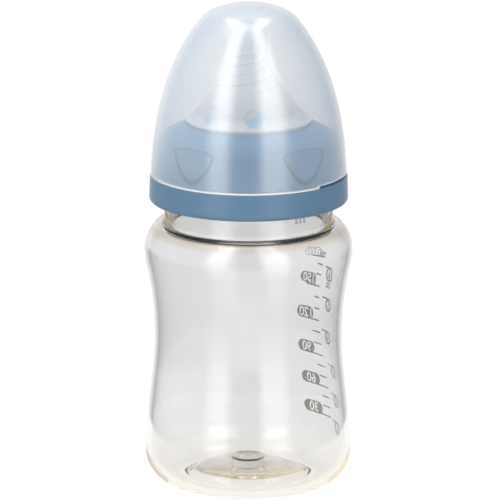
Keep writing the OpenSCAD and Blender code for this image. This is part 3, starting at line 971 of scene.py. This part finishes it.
# %% The ring's sizes
BAND_Z, BAND_R, BAND_ROUND, SKIRT_T, LIP = 93.4, 32.0, 1.2, 1.7, 0.3
SEAT, SEAT_R, SEAT_ROUND = 102.0, 31.8, 0.25
COLLAR_R, COLLAR_TOP_R = 30.1, 29.4
MOUTH_Z, MOUTH_R, MOUTH_ROUND = 119.3, 19.5, 0.5
ROOF_LEAN, ROOF_ROUND, ROOF_T = 28, 2.2, 1.6
CLAMP_OUT, CLAMP_IN, CLAMP_UP = 25.9, 23.9, 2.1
BORE_R, GROOVE_R = 27.0, 28.3
CREASE_R, CREASE_DEEP, CREASE_WIDE = 26.6, 0.06, 0.12
SLOPE = math.tan(math.radians(ROOF_LEAN))
roof_under = ROOF_T / math.cos(math.radians(ROOF_LEAN))
band_in = BAND_R - SKIRT_T


def roof(r):
    """Height of the roof's upper face at a radius."""
    return MOUTH_Z - (r - MOUTH_R) * SLOPE


print("roof at the collar:", round(roof(COLLAR_TOP_R), 2), "mm up")

# %% The ring's outline
round_z = roof(COLLAR_TOP_R) - ROOF_ROUND * math.tan(math.radians((90 - ROOF_LEAN) / 2))
ring_outline = [(band_in + LIP, BAND_Z), (BAND_R - BAND_ROUND, BAND_Z)]
ring_outline += arc((BAND_R - BAND_ROUND, BAND_Z + BAND_ROUND), BAND_ROUND, -90, 0, 8)
ring_outline += line((BAND_R, BAND_Z + 2), (SEAT_R, SEAT - 0.5), 8)
ring_outline += arc((SEAT_R - SEAT_ROUND, SEAT - SEAT_ROUND), SEAT_ROUND, 0, 90, 4)
ring_outline += [(COLLAR_R + 0.2, SEAT)]
collar_from = len(ring_outline)
ring_outline += line((COLLAR_R, SEAT + 0.2), (COLLAR_TOP_R + 0.08, round_z - 0.6), 40)
ring_outline += arc((COLLAR_TOP_R - ROOF_ROUND, round_z), ROOF_ROUND, 0, 90 - ROOF_LEAN, 10)
for r in np.linspace(COLLAR_TOP_R - 1.1, MOUTH_R + 0.9, 40):
    crease = CREASE_DEEP * math.exp(-(((r - CREASE_R) / CREASE_WIDE) ** 2))
    ring_outline.append((r, roof(r) - crease))
collar_to = len(ring_outline)
mouth_edge = (MOUTH_R + MOUTH_ROUND, roof(MOUTH_R + MOUTH_ROUND) - 0.55)
ring_outline += arc(mouth_edge, MOUTH_ROUND, 90 - ROOF_LEAN, 180, 6)
ring_outline += [(MOUTH_R, MOUTH_Z - roof_under + 0.1), (CLAMP_IN, roof(CLAMP_IN) - roof_under)]
clamp_z, clamp_top = RIM + CLAMP_UP, roof(CLAMP_OUT) - roof_under - 0.5
ring_outline += [(CLAMP_IN, clamp_z), (CLAMP_OUT, clamp_z), (CLAMP_OUT, clamp_top)]
ring_outline += [(BORE_R, clamp_top - (BORE_R - CLAMP_OUT)), (BORE_R, RIM + 0.6)]
bore_from = len(ring_outline)
ring_outline += line((GROOVE_R, RIM - 0.7), (GROOVE_R, SEAT - ROOF_T + 0.2), 56)
bore_to = len(ring_outline)
ring_outline += [(GROOVE_R, SEAT - ROOF_T), (band_in, SEAT - ROOF_T - 1.0)]
ring_outline += line((band_in, SEAT - ROOF_T - 1.4), (band_in, BAND_Z + 0.4), 6)
ring_outline += [(band_in + LIP, BAND_Z)]
ring_mark = [0.0] * len(ring_outline)
ring_mark[collar_from:collar_to] = [1.0] * (collar_to - collar_from)
ring_mark[bore_from:bore_to] = [-1.0] * (bore_to - bore_from)
print("ring's outline:", len(ring_outline), "points, collar:", ring_mark.count(1))

# %% [markdown]
# Four flat facets are shaved off the collar for the fingers. A facet is a flat cut: every point of
# the collar that stands proud of a leaning plane is moved back onto it. A boolean would do the
# same and leave long thin faces. The tree does it for one plane, given its direction, its distance
# at the foot and its lean, and is put on four times.

# %% The facets' tree
MARKED = 0.75
facet = Recipe("facet", Turn="angle", Reach="length", Foot="length", Lean="angle")
x, y, z = facet.split(facet.here())
along_x, along_y = facet.given("Turn").math("COSINE"), facet.given("Turn").math("SINE")
proud = x * along_x + y * along_y - facet.given("Reach")
proud = proud + (z - facet.given("Foot")) * facet.given("Lean").math("TANGENT")
cut = proud.math("MAXIMUM", 0.0) * (facet.carried("skin") > MARKED) * -1
facet.finish(facet.pushed(facet.join(cut * along_x, cut * along_y)))

# %% The ring's body
RING_THREAD_BOTTOM, RING_TURNS = 101.06, 1.25
raw = polyline("ring_raw", ring_outline, ring_mark)
lathe.put_on(raw, ring_plastic, Steps=256)
helix.put_on(
    raw,
    ring_plastic,
    Bottom=RING_THREAD_BOTTOM,
    Turns=RING_TURNS,
    Height=-THREAD_H,
    Side=-1.0,
    **THREAD,
)
for turned in FACET_TURNS:
    facet.put_on(
        raw, ring_plastic, Turn=turned, Reach=FACET_REACH, Foot=FACET_FOOT, Lean=FACET_LEAN
    )
ring_piece = settle(raw, "blue_ring")
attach(ring_piece, "ring")
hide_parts("screw_ring")

# %% [markdown]
# ## The teat
# The teat is one soft moulding. From the bottom: the flange that seals on the rim, the groove that
# the ring's mouth sits in, a bead, the dome, a neck with spiral ribs and the rounded tip with its
# feed hole. Sculpting suits soft things, but this one has to fit the ring, so its foot is drawn
# from the ring's own sizes.

# %% The teat's sizes
FLANGE_R, FLANGE_T, FLANGE_ROUND, TEAT_T, BEAD_R, BEAD_H = 26.2, 2.0, 0.4, 2.2, 20.3, 1.2
TIP_R, TIP_Z, TIP_LONG, TIP_THIN, FEED_R = 5.8, 152.0, 11.0, 0.4, 0.5
FLANGE_GAP, BODY_GAP, BEAD_GAP, ROOF_GAP = 0.05, 0.3, 0.15, 0.34
DOME_IN, DOME_UP, DOME_LOW_PULL, DOME_HIGH_PULL = 2.4, 1, (0.17, 0.25), (0.04, 0.39)
flange_z = RIM + FLANGE_GAP
groove_r, body_r = MOUTH_R - BODY_GAP, CLAMP_IN - BODY_GAP
bead_z = MOUTH_Z + BEAD_GAP
bead_top = bead_z + BEAD_H


def below(r):
    """Height just under the ring's roof at a radius."""
    return MOUTH_Z - roof_under - (r - MOUTH_R) * SLOPE - ROOF_GAP


def dome(inset, n=90):
    foot, neck = (BEAD_R - DOME_IN, bead_top + DOME_UP), (TIP_R, TIP_Z - TIP_LONG)
    tall = neck[1] - foot[1]
    low = (foot[0] - DOME_LOW_PULL[0] * tall, foot[1] + DOME_LOW_PULL[1] * tall)
    high = (neck[0] + DOME_HIGH_PULL[0] * tall, neck[1] - DOME_HIGH_PULL[1] * tall)
    return bezier([(r - inset, h) for r, h in (foot, low, high, neck)], n)


print("dome:", round(TIP_Z - TIP_LONG - bead_top, 2), "mm high")

# %% The teat's outline
outer = [(body_r - TEAT_T, flange_z), (FLANGE_R - FLANGE_ROUND, flange_z)]
outer += arc((FLANGE_R - FLANGE_ROUND, flange_z + FLANGE_ROUND), FLANGE_ROUND, -90, 0, 4)
outer += arc((FLANGE_R - FLANGE_ROUND, flange_z + FLANGE_T - FLANGE_ROUND), FLANGE_ROUND, 0, 90, 4)
outer += [(body_r, flange_z + FLANGE_T), (body_r, below(body_r))]
outer += [(groove_r, below(groove_r)), (groove_r, bead_z)]
outer += arc((BEAD_R - BEAD_H / 2, bead_z + BEAD_H / 2), BEAD_H / 2, -90, 80, 9)
rib_from = len(outer)
outer += dome(0)
outer += line((TIP_R, TIP_Z - TIP_LONG + 0.3), (TIP_R, TIP_Z - TIP_R - 0.2), 16)
rib_to = len(outer)
outer += [p for p in arc((0, TIP_Z - TIP_R), TIP_R, 0, 90, 16) if p[0] > FEED_R + 0.1]
outer += [(FEED_R, TIP_Z - TIP_R + math.sqrt(TIP_R**2 - FEED_R**2) - 0.08)]
tip_in = arc((0, TIP_Z - TIP_R - TIP_THIN), TIP_R - TEAT_T, 90, 0, 12)
inner = [p for p in tip_in if p[0] > FEED_R]
inner = [(FEED_R, inner[0][1] + 0.02)] + inner + dome(TEAT_T, 40)[::-1]
inner += [(groove_r - TEAT_T, bead_top), (groove_r - TEAT_T, below(groove_r) - TEAT_T / 2)]
inner += [(body_r - TEAT_T, below(body_r) - TEAT_T / 2), (body_r - TEAT_T, flange_z)]
teat_outline = outer + inner
teat_mark = [1.0 if rib_from <= i < rib_to else 0.0 for i in range(len(teat_outline))]
print("teat's outline:", len(teat_outline), "points, for the spiral:", int(sum(teat_mark)))

# %% [markdown]
# The teat breathes through small valves in its dome, which show as shallow round pockets with a
# flap on one side. Cutting a pocket with a boolean would leave a rough edge in a soft moulding, so
# this tree presses the dome's own points in along the pocket's axis, with a soft lip, and stores
# the flap's points, where the finish paints the blue of the ring behind.

# %% The pocket's tree
LIP_WIDTH, POCKET_NEAR, FLAP_SLANT, FLAP_TOP = 0.6, 3, 0.6, 1.3
pocket = Recipe(
    "pocket",
    Turn="angle",
    Out="length",
    Up="length",
    Tilt="angle",
    Radius="length",
    Depth="length",
)
x, y, z = pocket.split(pocket.here())
turn_cos, turn_sin = pocket.given("Turn").math("COSINE"), pocket.given("Turn").math("SINE")
tilt_cos, tilt_sin = pocket.given("Tilt").math("COSINE"), pocket.given("Tilt").math("SINE")
outward = x * turn_cos + y * turn_sin - pocket.given("Out")
sideways = y * turn_cos - x * turn_sin
upward = z - pocket.given("Up")
rise = upward * tilt_cos - outward * tilt_sin
depth_in = outward * tilt_cos + upward * tilt_sin
reach = (sideways * sideways + rise * rise).math("SQRT")
inside_it = ((pocket.given("Radius") - reach) / (LIP_WIDTH * mm)).held()
on_dome = pocket.carried("skin") > MARKED
inside_it = inside_it * on_dome * (depth_in.math("ABSOLUTE") < POCKET_NEAR * mm)
press = inside_it * pocket.given("Depth") * -1
moved = pocket.pushed(
    pocket.join(press * tilt_cos * turn_cos, press * tilt_cos * turn_sin, press * tilt_sin)
)
# The flap's points are stored for the finish, which paints the ring's blue on them.
painted_flap = inside_it * (rise - sideways * FLAP_SLANT < FLAP_TOP * mm)
pocket.finish(pocket.store(moved, "pocket", pocket.carried("pocket").math("MAXIMUM", painted_flap)))

# %% The teat's body
VENT_R, VENT_OUT, VENT_UP, VENT_TILT, VENT_DEPTH = 3.2, 16.4, 123.6, 38.7, 1.0
VENT_TURNS = (-90 + 6, -90 - 50)
SPIRAL = {"Lead": 9.0, "Starts": 3, "Root": 1.3, "Crest": 0.3, "Fade": 0.17}
SPIRAL_H, SPIRAL_FOOT, SPIRAL_RISE = 0.5, 130.0, 14.0
raw = polyline("teat_raw", teat_outline, teat_mark)
lathe.put_on(raw, soft_silicone, Steps=224)
for turned in VENT_TURNS:
    pocket.put_on(
        raw,
        soft_silicone,
        Turn=turned,
        Out=VENT_OUT,
        Up=VENT_UP,
        Tilt=VENT_TILT,
        Radius=VENT_R,
        Depth=VENT_DEPTH,
    )
helix.put_on(
    raw,
    soft_silicone,
    Bottom=SPIRAL_FOOT,
    Turns=SPIRAL_RISE / SPIRAL["Lead"],
    Height=SPIRAL_H,
    Side=1.0,
    **SPIRAL,
)
teat_piece = settle(raw, "silicone_teat")
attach(teat_piece, "teat")
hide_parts("teat")

# %% [markdown]
# ## The hood
# The hood stands on the ring's seat and comes off with a pull. Its side is one cubic curve, its
# shoulder a small arc and its top a large one, all tangent. Its rim is cut back over a little more
# than a seventh of its way round, so that a thumb can lift it: the lathe can't do that, so the
# rim's points are raised there afterwards.

# %% The hood's outline
HOOD_R, HOOD_H, HOOD_T, CAP_R, NOSE_R = 31.75, 55.8, 1.2, 30.2, 10.6
RIM_LEAN, NOSE_LEAN, CAP_LEAN = map(math.radians, (1.9, 38.2, 67.0))
PULL, SEAT_GAP, EDGE_ROUND, RIM_STEPS = 0.36, 0.05, 0.15, (0.15, 0.4, 0.55)
RIM_HIGHLIGHT_H, WALL_START = 0.45, 0.7
hood_z = SEAT + SEAT_GAP


def hood_curve(inset):
    top = hood_z + HOOD_H - inset
    cap, nose = CAP_R - inset, NOSE_R - inset
    cap_c = (0, top - cap)
    nose_c = ((cap - nose) * math.cos(CAP_LEAN), cap_c[1] + (cap - nose) * math.sin(CAP_LEAN))
    rim = (HOOD_R - inset, hood_z)
    end = (nose_c[0] + nose * math.cos(NOSE_LEAN), nose_c[1] + nose * math.sin(NOSE_LEAN))
    pull = PULL * (end[1] - rim[1])
    p1 = (rim[0] - pull * math.sin(RIM_LEAN), rim[1] + pull * math.cos(RIM_LEAN))
    p2 = (end[0] + pull * math.sin(NOSE_LEAN), end[1] - pull * math.cos(NOSE_LEAN))
    return (
        bezier([rim, p1, p2, end], 60)
        + arc(nose_c, nose, math.degrees(NOSE_LEAN), math.degrees(CAP_LEAN), 10)
        + arc(cap_c, cap, math.degrees(CAP_LEAN), 90, 14)
    )


inside, outside = without_doubles(hood_curve(HOOD_T)), without_doubles(hood_curve(0))
wall_from = hood_z + WALL_START
hood_outline = [p for p in inside[::-1] if p[1] > wall_from]
hood_outline += [(inside[0][0], hood_z + low) for low in RIM_STEPS[::-1]]
hood_outline += [(HOOD_R - HOOD_T + EDGE_ROUND, hood_z), (HOOD_R - EDGE_ROUND, hood_z)]
hood_outline += [(HOOD_R, hood_z + low) for low in RIM_STEPS]
hood_outline += [p for p in outside if p[1] > wall_from]
# The rim's points are marked for the hood's finish, which paints a highlight on them.
rim_highlight_mark = [1.0 if h < hood_z + RIM_HIGHLIGHT_H else 0.0 for _, h in hood_outline]
print("hood's outline:", len(hood_outline), "points, of which the rim:", int(sum(rim_highlight_mark)))

# %% The hood's body
NOTCH_FROM, NOTCH_TO, NOTCH_H, NOTCH_FADE, NOTCH_FLAT = -44.0, 10.0, 0.8, 0.4, 0.2
raw = polyline("hood_raw", hood_outline, rim_highlight_mark)
lathe.put_on(raw, frosted_plastic, Steps=256)
hood_piece = settle(raw, "frosted_hood")
raised = 0
for vertex in hood_piece.data.vertices:
    bearing = math.degrees(math.atan2(vertex.co.y, vertex.co.x))
    low = vertex.co.z / mm - hood_z
    if NOTCH_FROM < bearing < NOTCH_TO and low < NOTCH_H + NOTCH_FADE:
        share = 1 - low / (NOTCH_H + NOTCH_FADE) if low > NOTCH_FLAT else 1
        vertex.co.z += NOTCH_H * mm * share
        raised += 1
print("rim points raised for the notch:", raised)
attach(hood_piece, "hood")
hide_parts("hood")

# %% [markdown]
# ## The floor
# A clear bottle shows the floor through its base, so the floor has to stay clean white there. It
# is a disc about three times as wide as the bottle, and it glows by itself: a lit white floor
# would take on the shadows and the amber of the base. Past its edge the sky's low part carries on
# with nearly the same white.

# %% The floor's disc
FLOOR_DISC, FLOOR_SIDES, FLOOR_GREY, FLOOR_GLOW = 0.11, 96, (0.06, 0.06, 0.06, 1), 0.96
mesh = bpy.data.meshes.new("studio_floor")
maker = bmesh.new()
bmesh.ops.create_circle(maker, cap_ends=True, radius=FLOOR_DISC, segments=FLOOR_SIDES)
maker.to_mesh(mesh)
maker.free()
floor_sheet = new_object("studio_floor", mesh)
white_floor, g, point = new_finish("white_floor")
paper = principled(
    g,
    Base_Color=FLOOR_GREY,
    Roughness=0.9,
    Emission_Color=(1, 1, 1, 1),
    Emission_Strength=FLOOR_GLOW,
)
shade(white_floor, g, Surface=paper)
mesh.materials.append(white_floor)

# %% [markdown]
# ## The light
# Clear bottles are usually shown between two tall soft boxes, one on each side of the camera: each
# box draws one upright band on the round wall, and the gap between them draws the darker stripe in
# the middle. Area lamps would do, but a lamp can't be seen through the wall without its edges, so
# the boxes, two overhead banks and the pale room round them are painted into the sky, by bearing
# and height. Bearing 0 points from the bottle to the camera. The table is bright behind the
# bottle, where one looks through it, a little less bright in front, and dim at its sides, which
# gives the wall its grey edges. The camera itself sees plain white.

# %% The sky's directions
world = bpy.data.worlds.new("studio")
bpy.context.scene.world = world
world.use_nodes = True
world.node_tree.nodes.clear()
w = Graph(world.node_tree)
east, north, up = w.split(w.add("ShaderNodeTexCoord"))
bearing = east.math("ARCTAN2", north * -1) * (180 / math.pi)


def between(value, low, high, soft):
    """1 between low and high, with edges that are soft on both sides."""
    return value.ramp(low - soft, low + soft) * (1.0 - value.ramp(high - soft, high + soft))


print("sky nodes for directions:", len(w.tree.nodes))

# %% The boxes, the banks and the gap
LEFT_BOX, RIGHT_BOX, GAP_SPAN = (-50, -24, 6), (15, 48, 6), (-24, 15, 3)
LEFT_BANK, RIGHT_BANK, BANK_DEPTH = (-0.45, -0.21, 0.04), (0.145, 0.38, 0.04), (-0.29, 0.5, 0.02)
BOX_LOW, LOW_SHARE, BOX_HIGH, HIGH_SHARE = (-0.5, -0.18), 0.6, (0.08, 0.25), 0.4
BOX_TOP, BANK_START, GAP_TOP, FLATTEST = (0.925, 0.985), (0.70, 0.75), (0.85, 0.95), 0.05
lower, upper = up.ramp(*BOX_LOW) * LOW_SHARE, up.ramp(*BOX_HIGH) * HIGH_SHARE
side_height = (lower + upper) * (1.0 - up.ramp(*BOX_TOP))
left_box = between(bearing, *LEFT_BOX) * side_height
right_box = between(bearing, *RIGHT_BOX) * side_height
slant = east / up.math("MAXIMUM", FLATTEST)
overhead = between(north, *BANK_DEPTH) * up.ramp(*BANK_START)
banks = (between(slant, *LEFT_BANK) + between(slant, *RIGHT_BANK)) * overhead
gap = between(bearing, *GAP_SPAN) * (1.0 - up.ramp(*GAP_TOP))
print("sky nodes with the boxes:", len(w.tree.nodes))

# %% How bright each part is
AMBIENT, EAST_FALL, GAP, BOX, BANK = 0.8, 0.25, 0.2, 3.2, 4.2
TABLE, SIDES, FRONT_SHARE, BACKDROP = 1.06, 0.45, 0.7, 1.05
HORIZON, REAR, FRONT = (-0.21, -0.12), (145, 170), (8, 30)
open_sky = AMBIENT - east * EAST_FALL
glow = open_sky - gap * (open_sky - GAP)
low = 1.0 - up.ramp(*HORIZON)
turned_away = bearing.math("ABSOLUTE")
bright = turned_away.ramp(*REAR) + (1.0 - turned_away.ramp(*FRONT)) * FRONT_SHARE
glow = glow + low * (SIDES + bright * (TABLE - SIDES) - glow)
glow = glow + (left_box + right_box) * (BOX - AMBIENT) + banks * (BANK - AMBIENT)
seen = w.add("ShaderNodeLightPath").out("Is Camera Ray")
glow = glow + seen * (BACKDROP - glow)
sky = w.add("ShaderNodeBackground", inputs={"Color": (1.0, 1.0, 1.0, 1), "Strength": glow})
w.add("ShaderNodeOutputWorld", inputs={"Surface": sky})
print("sky nodes in all:", len(w.tree.nodes))

# %% [markdown]
# One weak lamp overhead adds the soft modelling that an even sky lacks: it rounds the hood and the
# ring's roof.

# %% The top lamp
LAMP_SIZE, LAMP_WATTS, LAMP_AT = 1.2, 4.0, (-0.5, -0.3, 1.8)
light = bpy.data.lights.new("top_box", "AREA")
light.shape = "RECTANGLE"
light.size, light.size_y, light.energy = LAMP_SIZE, LAMP_SIZE, LAMP_WATTS
lamp = new_object("top_box", light)
lamp.location = LAMP_AT
lamp.rotation_euler = (-lamp.location).to_track_quat("-Z", "Y").to_euler()
print("lamp:", LAMP_WATTS, "W at", LAMP_AT)

# %% [markdown]
# ## The camera
# The object is seen from a little above with a very long lens, as for a catalogue, so that its
# sides stay nearly parallel. A slight roll is left in, as when a camera is set up by hand. Light
# has to pass many clear walls and turn inside the base, so its path may have many bounces; with
# few, the base goes black.

# %% The camera and the light's path
LENS, EYE_AT, LOOK_AT = 459.9, (0, -2.0, 0.5716), (0.48, 0, 76.54)
ROLL, BOUNCES = math.radians(0.15), 32
camera = bpy.data.cameras.new("camera")
camera.sensor_width, camera.lens = 36.0, LENS
camera.clip_start, camera.clip_end = 0.1, 20.0
eye = new_object("camera", camera)
eye.location = EYE_AT
facing = (Vector(LOOK_AT) * mm - eye.location).to_track_quat("-Z", "Y").to_matrix().to_4x4()
eye.rotation_euler = (facing @ Matrix.Rotation(ROLL, 4, "Z")).to_euler()
scene = bpy.context.scene
scene.camera = eye
scene.view_settings.view_transform = "Standard"
scene.cycles.max_bounces = scene.cycles.glossy_bounces = BOUNCES
scene.cycles.transmission_bounces = scene.cycles.transparent_max_bounces = BOUNCES
print("camera looks down by", round(90 - math.degrees(eye.rotation_euler.x), 1), "degrees")
